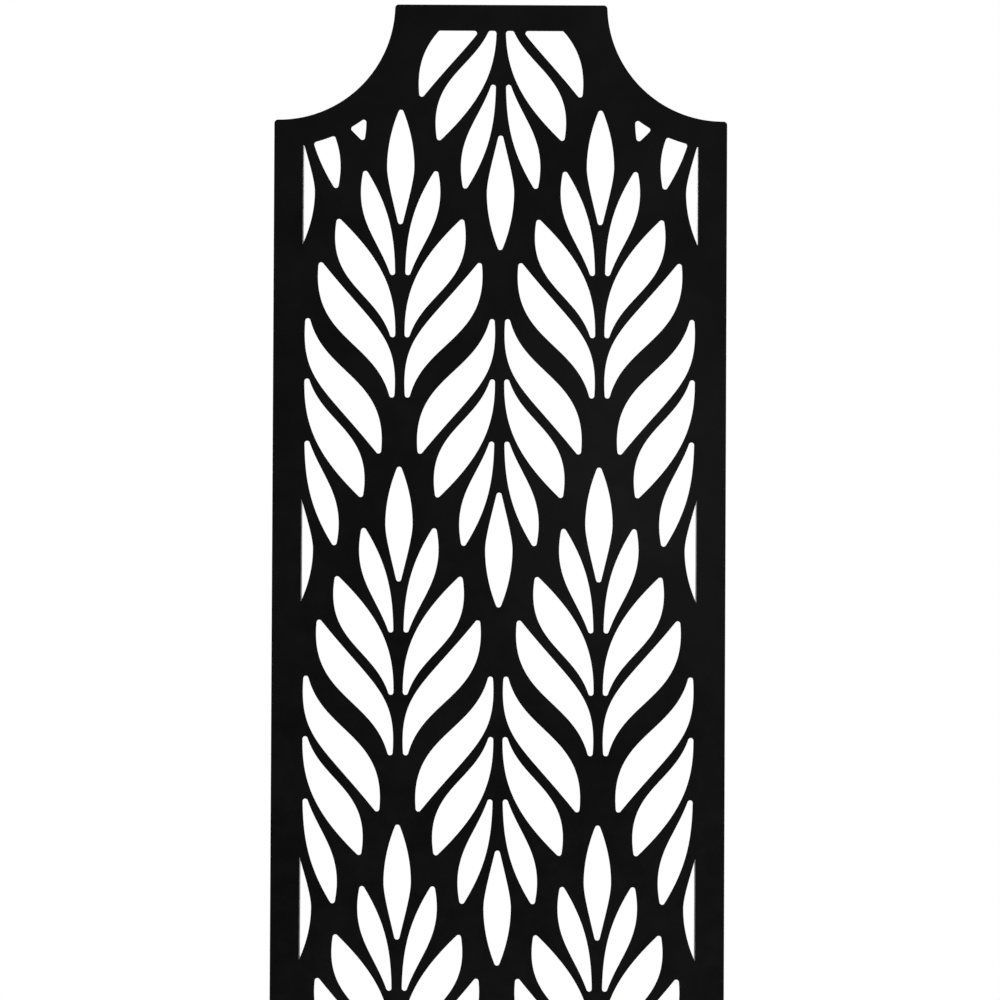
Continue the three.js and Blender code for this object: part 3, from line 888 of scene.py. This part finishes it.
# %% Nuts
NUT_ACROSS_FLATS = 13
NUT_CHAMFER = 0.6
CHAMFER_ANGLE = 30
ROUND_FACE, CORNER_CIRCLE = 0.96, 1.2  # shares of the width across the flats
OVERSHOOT = 1


def chamfered_hexagon(across_flats, low, high):
    face, corner = across_flats / 2 * ROUND_FACE, across_flats / 2 * CORNER_CIRCLE
    rise = (corner - face) * tan(radians(CHAMFER_ANGLE))
    wide = [(corner, low + rise), (corner, high - rise)]
    barrel = lathe([(0, low), (face, low), *wide, (face, high), (0, high)])
    return boolean(hexagon(across_flats, low, high), barrel, "INTERSECT")


def nut(low, high):
    mouth = STUD_HOLE + NUT_CHAMFER
    below, above = low - OVERSHOOT, high + OVERSHOOT
    cutter = lathe([
        (0, below), (mouth, below), (mouth, low), (STUD_HOLE, low + NUT_CHAMFER),
        (STUD_HOLE, high - NUT_CHAMFER), (mouth, high), (mouth, above), (0, above),
    ])
    return boolean(chamfered_hexagon(NUT_ACROSS_FLATS, low, high), cutter)


# %% Studs and pads
STUD_RADIUS = 4
COLLAR_HEIGHT = 4
COLLAR_GAP = 0.2
THREAD_SUNK, PIVOT_SUNK = 1, 0.5  # how far both ends reach into the collar
PIVOT_RADIUS = 3
PIVOT_ROUNDING = 0.3
PIVOT_CLEARANCE = 0.1
PIVOT_DEPTH = 6
SKIRT_SHARE = 0.45
SKIRT_SLOPE = (1.5, 1)
HUB_WALL = 1
PAD_ROUNDING = 0.5
PAD_STEPS = 96


def stud(low, high, collar_low):
    collar_high = collar_low + COLLAR_HEIGHT
    rod = thread(STUD_RADIUS, collar_high - THREAD_SUNK, high)
    pivot_top = collar_high - PIVOT_SUNK
    pivot = lathe([(0, low), (PIVOT_RADIUS, low), (PIVOT_RADIUS, pivot_top), (0, pivot_top)], PIVOT_ROUNDING)
    collar = chamfered_hexagon(NUT_ACROSS_FLATS, collar_low, collar_high)
    return boolean(boolean(rod, pivot, "UNION"), collar, "UNION")


def pad(height, radius):
    skirt, hub = SKIRT_SHARE * height, NUT_ACROSS_FLATS / 2 + HUB_WALL
    bore, floor_height = PIVOT_RADIUS + PIVOT_CLEARANCE, height - PIVOT_DEPTH
    slope_in, slope_up = SKIRT_SLOPE
    outside = [(0, 0), (radius, 0), (radius, skirt), (radius - slope_in, skirt + slope_up), (hub, height)]
    inside = [(bore, height), (bore, floor_height), (0, floor_height)]
    return lathe(outside + inside, PAD_ROUNDING, PAD_STEPS)


_, pad_high, pad_middle = box_in_mm("glide_pad_left_front")
stud_low, stud_high, _ = box_in_mm("glide_stud_left_front")
nut_low, nut_high, _ = box_in_mm("glide_nut_left_front")
glide_kinds = {
    "pad": (pad(pad_high.z, pad_high.x - pad_middle.x), nylon),
    "stud": (stud(stud_low.z, stud_high.z, pad_high.z + COLLAR_GAP), zinc),
    "nut": (nut(nut_low.z, nut_high.z), zinc),
}
print("glide faces", {kind: len(master.faces) for kind, (master, _) in glide_kinds.items()})

# %% Place the four glides
for side_name in SIDES:
    for end in ENDS:
        where = f"{side_name}_{end}"
        at = box_in_mm("glide_pad_" + where)[2]
        for kind, (master, material) in glide_kinds.items():
            bm = master.copy()
            bmesh.ops.translate(bm, vec=(at.x * mm, at.y * mm, 0), verts=bm.verts)
            body = "screen" if kind == "nut" else f"{kind}_{where}"
            finish_piece(bm, f"levelling_{kind}_{where}", material, body, [f"glide_{kind}_{where}"])

# %% [markdown]
# ## Button head screws and washers
#
# The head is a low dome with a hexagon socket. The dome is a few points on an ellipse, and the socket
# is a hexagon cut out of it, with a drilled cone at its floor. Every screw is made along Z and then
# turned to point into the post from behind.

# %% Screws
HEAD_RADIUS = 7
HEAD_HEIGHT = 4.4
HEAD_RIM = 0.8
CROWN_RADIUS = 3.85
DOME_STEPS = 10
SCREW_LENGTH = 16
THREAD_IN_HEAD = 0.5
SOCKET = 5
SOCKET_DEPTH = 2.6
CONE_DEPTH = 0.8
CONE_WIDTH = 0.98  # a share of the socket, so that the cone stays inside the flats
CONE_LIFT = 0.01


def screw():
    quarter = [pi / 2 * i / DOME_STEPS for i in range(DOME_STEPS + 1)]
    spread, rise = HEAD_RADIUS - CROWN_RADIUS, HEAD_HEIGHT - HEAD_RIM
    dome = [(CROWN_RADIUS + spread * cos(a), HEAD_RIM + rise * sin(a)) for a in quarter]
    head = lathe([(0, 0), (HEAD_RADIUS, 0), *dome, (0, HEAD_HEIGHT)])
    socket_floor = HEAD_HEIGHT - SOCKET_DEPTH
    socket = hexagon(SOCKET, socket_floor, HEAD_HEIGHT + OVERSHOOT)
    cone_rim = (SOCKET / 2 * CONE_WIDTH, socket_floor + CONE_LIFT)
    drill_cone = lathe([(0, socket_floor - CONE_DEPTH), cone_rim, (0, HEAD_HEIGHT)])
    head = boolean(boolean(head, socket), drill_cone)
    return boolean(head, thread(STUD_RADIUS, -SCREW_LENGTH, THREAD_IN_HEAD), "UNION")


# %% Washers
WASHER_RADIUS = 8
WASHER_THICKNESS = 1.6
WASHER_EDGE = 0.2


def washer():
    outside = [(WASHER_RADIUS, 0), (WASHER_RADIUS, WASHER_THICKNESS)]
    return lathe([(STUD_HOLE, 0), *outside, (STUD_HOLE, WASHER_THICKNESS)], WASHER_EDGE)


screw_kinds = {
    "screw": (screw(), "button_screw_", HEAD_HEIGHT),
    "washer": (washer(), "flat_washer_", WASHER_THICKNESS),
}
print("screw and washer faces", [len(master.faces) for master, _, _ in screw_kinds.values()])

# %% Place the four screws and their washers
for side_name in SIDES:
    for level in LEVELS:
        where = f"{side_name}_{level}"
        for kind, (master, piece_name, height) in screw_kinds.items():
            high, at = box_in_mm(f"{kind}_{where}")[1:]
            seat = Matrix.Translation((at.x * mm, (high.y - height) * mm, at.z * mm))
            bm = master.copy()
            bmesh.ops.transform(bm, matrix=seat @ Matrix.Rotation(-pi / 2, 4, "X"), verts=bm.verts)
            finish_piece(bm, piece_name + where, black_zinc, "screen", [f"{kind}_{where}"])

# %% [markdown]
# ## Weld beads
#
# The sheet is stitched to the frame along the small step at its edge, and the tubes are welded at
# their joints. A bead is a row of overlapping puddles, so its thickness swells and shrinks along it.
# It is made as a ring that is extruded step by step and scaled at each step.

# %% One bead
RIPPLE = 1.6
RIPPLE_DEPTH = 0.22
RINGS_PER_RIPPLE = 4
BEAD_SIDES = 8
BEAD_SHARP_ANGLE = 70
BLUNT_END = 8  # a higher power keeps the bead thick for longer before it ends
THINNEST = 0.15


def bead(start, end, radius):
    bm = bmesh.new()
    start, end = Vector(start), Vector(end)
    length = (end - start).length
    count = ceil(length / RIPPLE * RINGS_PER_RIPPLE)
    bmesh.ops.create_circle(bm, cap_ends=True, segments=BEAD_SIDES, radius=mm)
    ring, edges = bm.verts[:], bm.edges[:]
    width = 1.0
    for i in range(count + 1):
        t = i / count
        ripple = 1 - RIPPLE_DEPTH * abs(sin(pi * t * length / RIPPLE))
        target = max(radius * ((1 - (2 * t - 1) ** BLUNT_END) ** 0.5 * ripple), THINNEST * radius)
        bmesh.ops.scale(bm, vec=(target / width, target / width, 1), verts=ring)
        width = target
        if i < count:
            made = bmesh.ops.extrude_edge_only(bm, edges=edges)["geom"]
            ring, edges = only(bmesh.types.BMVert, made), only(bmesh.types.BMEdge, made)
            bmesh.ops.translate(bm, vec=(0, 0, length / count * mm), verts=ring)
    bmesh.ops.contextual_create(bm, geom=edges)
    turn = (end - start).to_track_quat("Z", "Y").to_matrix().to_4x4()
    bmesh.ops.transform(bm, matrix=Matrix.Translation(start * mm) @ turn, verts=bm.verts)
    return bm


def welds(name, beads):
    joined = bmesh.new()
    for start, end, radius in beads:
        bm = bead(start, end, radius)
        mesh = bpy.data.meshes.new("throwaway")
        bm.to_mesh(mesh)
        bm.free()
        joined.from_mesh(mesh)
        bpy.data.meshes.remove(mesh)
    finish_piece(joined, name, powder_coat, "screen", sharp=BEAD_SHARP_ANGLE)


# %% Stitches along the sheet's edge
STITCH = 24
STITCH_RADIUS = 0.85
POST_STITCHES = 6
FIRST_STITCH = 60
STITCH_SPACING = 290
SHOULDER_STITCHES = (25, 60)  # degrees from the foot of the arc
BOTTOM_STITCHES = (-200, 0, 200)
TOP_STITCHES = (-70, 70)
SHEET_OVERHANG = 1

frame_side = post_high.x / mm
front, back = post_low.y / mm, post_high.y / mm
rail_low, rail_high, _ = box_in_mm("bottom_rail")
top_low, top_high, _ = box_in_mm("top_rail")
bar_radius = SHOULDER_RADIUS + SHEET_OVERHANG


def stitch(x1, z1, x2, z2):
    return (x1, front, z1), (x2, front, z2), STITCH_RADIUS


stitches = []
for side in SIDES.values():
    x = side * frame_side
    for i in range(POST_STITCHES):
        z = rail_high.z + FIRST_STITCH + i * STITCH_SPACING
        stitches.append(stitch(x, z, x, z + STITCH))
    for degrees_up in SHOULDER_STITCHES:
        middle_angle, half_turn = radians(270 - degrees_up), STITCH / 2 / bar_radius
        turns = (middle_angle - half_turn, middle_angle + half_turn)
        a, b = (shoulder_centre + bar_radius * Vector((cos(t), sin(t))) for t in turns)
        stitches.append(stitch(side * a.x, a.y, side * b.x, b.y))
for level_places, z in ((BOTTOM_STITCHES, rail_low.z), (TOP_STITCHES, top_high.z)):
    stitches += [stitch(x - STITCH / 2, z, x + STITCH / 2, z) for x in level_places]
welds("sheet_stitches", stitches)

# %% [markdown]
# ## Welds at the joints
#
# Where two tubes meet, a bead runs from front to back in the corner between them, and another
# closes the seam at the back. The shoulder bar is welded to the post's top end in the same way.
# Round corners of the tubes push some beads a little outwards.

# %% Joint welds
CORNER_BEAD = 2.0
SEAM_BEAD = 1.3
POST_TOP_BEAD = 2.2
FRONT_STOP, BACK_STOP = 2, 1  # how far a bead stays from the sheet and from the back
SEAM_STOP = 1
BAR_LEAN = 1
RAIL_BEAD_OUT = 1.4
POST_BEAD_OUT, POST_BEAD_UP = 0.5, 1.8
POST_SEAM_INSET, POST_SEAM_RISE = 2, 1.4
OUTER_BACK_STOP = 2


def corner_bead(x, z, radius, back_stop=BACK_STOP):
    return (x, front + FRONT_STOP, z), (x, back - back_stop, z), radius


def seam_bead(x1, z1, x2, z2):
    return (x1, back, z1), (x2, back, z2), SEAM_BEAD


post_top = post_high.z / mm
joints = []
for side in SIDES.values():
    x = side * inner
    joints += [corner_bead(x, z, CORNER_BEAD) for z in (rail_low.z, rail_high.z)]
    joints.append(seam_bead(x, rail_low.z + SEAM_STOP, x, rail_high.z - SEAM_STOP))
    x = side * top_high.x
    joints.append(corner_bead(x + side * RAIL_BEAD_OUT, top_low.z, CORNER_BEAD))
    joints.append(seam_bead(x + side * BAR_LEAN, top_low.z + SEAM_STOP, x, top_high.z - SEAM_STOP))
    joints.append(corner_bead(side * (inner + POST_BEAD_OUT), post_top + POST_BEAD_UP, POST_TOP_BEAD))
    seam_start, seam_end = side * (inner + POST_SEAM_INSET), side * (frame_side - POST_SEAM_INSET)
    joints.append(seam_bead(seam_start, post_top + POST_SEAM_RISE, seam_end, post_top))
    joints.append(corner_bead(side * frame_side, post_top, STITCH_RADIUS, OUTER_BACK_STOP))
welds("joint_welds", joints)

# %% [markdown]
# ## Camera
#
# The photograph looks straight at the sheet. The camera stands four metres away, and a very slight
# roll and tilt of its own make the sheet lean as it does there. The frame takes in the top 1340 mm
# of the screen.

# %% Camera
PIXELS = 1000
PIXEL = 1.345 * mm
DISTANCE = 4.0
SENSOR = 36
SIDE_SHIFT = 1.3 * mm
TOP_MARGIN = 4.0  # white pixels above the top edge
ROLL, TILT = radians(0.27), radians(0.6)
scene = bpy.context.scene
view_centre = Vector((SIDE_SHIFT, sheet_low.y, sheet_high.z - (PIXELS / 2 - TOP_MARGIN) * PIXEL))
camera_data = bpy.data.cameras.new("camera")
camera_data.sensor_width = SENSOR
camera_data.lens = SENSOR * DISTANCE / (PIXELS * PIXEL)
camera = bpy.data.objects.new("camera", camera_data)
scene.collection.objects.link(camera)
turned = Matrix.Rotation(pi / 2 + TILT, 4, "X") @ Matrix.Rotation(ROLL, 4, "Z")
camera.matrix_world = Matrix.Translation(view_centre) @ turned @ Matrix.Translation((0, 0, DISTANCE))
scene.camera = camera
print("lens", round(camera_data.lens, 1), "mm, camera at", [round(v, 3) for v in camera.location])

# %% [markdown]
# ## The room round the screen
#
# The world is white where the camera sees it and gentler as light. In reflections it is white
# towards the sides and the back. Towards the camera's own side a dark card stands in it, lighter
# at the upper right, because a white room there would turn the satin black coat to grey. The world's
# Generated coordinate is the direction of a ray, so its parts tell where a reflection looks.

# %% World
WORLD_LIGHT = 0.7
SIDE_GLOSS = 1.0
CARD_LOW_LEFT, CARD_HIGH_RIGHT = 0.0, 0.4
CARD_SHADE = (-0.3, 0.4)  # from low left to high right
CARD_EDGE = (-0.8, -0.1)  # from straight ahead to the sides


def mirrored_light(tree):
    direction = node(tree, "ShaderNodeTexCoord", (-1100, -200)).outputs["Generated"]
    parts = node(tree, "ShaderNodeSeparateXYZ", (-900, -200))
    tree.links.new(direction, parts.inputs[0])
    rise = node(tree, "ShaderNodeMath", (-900, -450), operation="ADD")
    tree.links.new(parts.outputs["X"], rise.inputs[0])
    tree.links.new(parts.outputs["Z"], rise.inputs[1])
    card = remap(tree, rise.outputs[0], *CARD_SHADE, CARD_LOW_LEFT, CARD_HIGH_RIGHT, (-700, -450))
    return remap(tree, parts.outputs["Y"], *CARD_EDGE, card, SIDE_GLOSS, (-500, -200))


def studio_world():
    world = bpy.data.worlds.new("studio")
    world.use_nodes = True
    tree = world.node_tree
    background = tree.nodes["Background"]
    background.inputs["Color"].default_value = (1, 1, 1, 1)
    path = node(tree, "ShaderNodeLightPath", (-900, 200))
    seen = node(tree, "ShaderNodeMath", (-650, 300), operation="MAXIMUM")
    tree.links.new(path.outputs["Is Camera Ray"], seen.inputs[0])
    tree.links.new(path.outputs["Is Transmission Ray"], seen.inputs[1])
    gloss = node(tree, "ShaderNodeMix", (-450, 0), data_type="FLOAT")
    gloss.inputs["A"].default_value = WORLD_LIGHT
    tree.links.new(mirrored_light(tree), gloss.inputs["B"])
    tree.links.new(path.outputs["Is Glossy Ray"], gloss.inputs["Factor"])
    strength = node(tree, "ShaderNodeMix", (-250, 100), data_type="FLOAT")
    strength.inputs["B"].default_value = 1.0
    tree.links.new(seen.outputs[0], strength.inputs["Factor"])
    tree.links.new(gloss.outputs["Result"], strength.inputs["A"])
    tree.links.new(strength.outputs["Result"], background.inputs["Strength"])
    return world


scene.view_settings.view_transform = "Standard"
scene.world = studio_world()
print("world", scene.world.name, "lights with", WORLD_LIGHT)

# %% [markdown]
# ## Floor
#
# A pale disc carries the screen and its shadow. Towards its rim it fades into the white background,
# for camera rays alone, so that no edge of the floor shows and it gives no light.

# %% Floor
FLOOR_RADIUS = 1.35
FLOOR_STEPS = 96
FLOOR_GREY = 0.8
FLOOR_ROUGHNESS = 0.8
FLOOR_SPECULAR = 0.2
FADE_START, FADE_END = 0.35, 0.98  # shares of the radius


def floor_finish():
    material = bpy.data.materials.new("pale_floor")
    material.use_nodes = True
    tree = material.node_tree
    shader = tree.nodes["Principled BSDF"]
    shader.inputs["Base Color"].default_value = grey(FLOOR_GREY)
    shader.inputs["Roughness"].default_value = FLOOR_ROUGHNESS
    shader.inputs["Specular IOR Level"].default_value = FLOOR_SPECULAR
    away = node(tree, "ShaderNodeVectorMath", (-600, -200), operation="LENGTH")
    tree.links.new(node(tree, "ShaderNodeTexCoord", (-800, -200)).outputs["Object"], away.inputs[0])
    fade_from, fade_to = FADE_START * FLOOR_RADIUS, FADE_END * FLOOR_RADIUS
    fade = remap(tree, away.outputs["Value"], fade_from, fade_to, 0.0, 1.0, (-400, -200))
    seen = node(tree, "ShaderNodeMath", (-200, -200), operation="MULTIPLY")
    tree.links.new(fade, seen.inputs[0])
    tree.links.new(node(tree, "ShaderNodeLightPath", (-400, -450)).outputs["Is Camera Ray"], seen.inputs[1])
    glow = node(tree, "ShaderNodeEmission", (0, -200))
    blend = node(tree, "ShaderNodeMixShader", (250, 0))
    tree.links.new(seen.outputs[0], blend.inputs["Fac"])
    tree.links.new(shader.outputs[0], blend.inputs[1])
    tree.links.new(glow.outputs[0], blend.inputs[2])
    tree.links.new(blend.outputs[0], tree.nodes["Material Output"].inputs["Surface"])
    return material


bm = bmesh.new()
bmesh.ops.create_circle(bm, cap_ends=True, segments=FLOOR_STEPS, radius=FLOOR_RADIUS)
floor_mesh = bpy.data.meshes.new("floor")
bm.to_mesh(floor_mesh)
bm.free()
floor_mesh.materials.append(floor_finish())
floor = bpy.data.objects.new("floor", floor_mesh)
scene.collection.objects.link(floor)
print("floor", 2 * FLOOR_RADIUS, "m across")

# %% [markdown]
# ## Lamps
#
# The light is soft and comes mostly from the right. Four large lamps stand round the screen. A small
# weak one close to the sheet brightens the coat a little, right of the middle.

# %% Lamps
def lamp(name, place, target, power, width, height):
    data = bpy.data.lights.new(name, "AREA")
    data.shape, data.size, data.size_y, data.energy = "RECTANGLE", width, height, power
    made = bpy.data.objects.new(name, data)
    scene.collection.objects.link(made)
    aim = (Vector(target) - Vector(place)).to_track_quat("-Z", "Y")
    made.matrix_world = Matrix.Translation(place) @ aim.to_matrix().to_4x4()
    print("lamp", name, power, "W")


lamp("key_right", (2.4, -1.5, 1.5), target=(0, 0, 1.1), power=36, width=1.0, height=2.0)
lamp("glow_right", (0.19, -0.8, 1.2), target=(0.15, 0, 1.2), power=0.22, width=0.16, height=0.4)
lamp("fill_left", (-3.4, -2.4, 1.8), target=(0, 0, 1.0), power=20, width=1.6, height=2.2)
lamp("top", (0.3, 0.4, 4.2), target=(0, 0, 0.8), power=36, width=2.0, height=2.0)
lamp("back", (-0.8, 3.4, 2.4), target=(0, 0, 1.0), power=36, width=2.0, height=2.0)

# %% [markdown]
# ## The model's own solids
#
# The stub tubes and weld nuts inside the posts need no piece of their own, so the model's solids
# serve. Every solid gets its finish by the start of its name.

# %% Finish the solids
START_OF_NAME = {"screw_": black_zinc, "washer": black_zinc, "weld": zinc, "glide_pad": nylon, "glide": zinc}
for name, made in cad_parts.items():
    finish = next((m for start, m in START_OF_NAME.items() if name.startswith(start)), powder_coat)
    made.data.materials.clear()
    made.data.materials.append(finish)
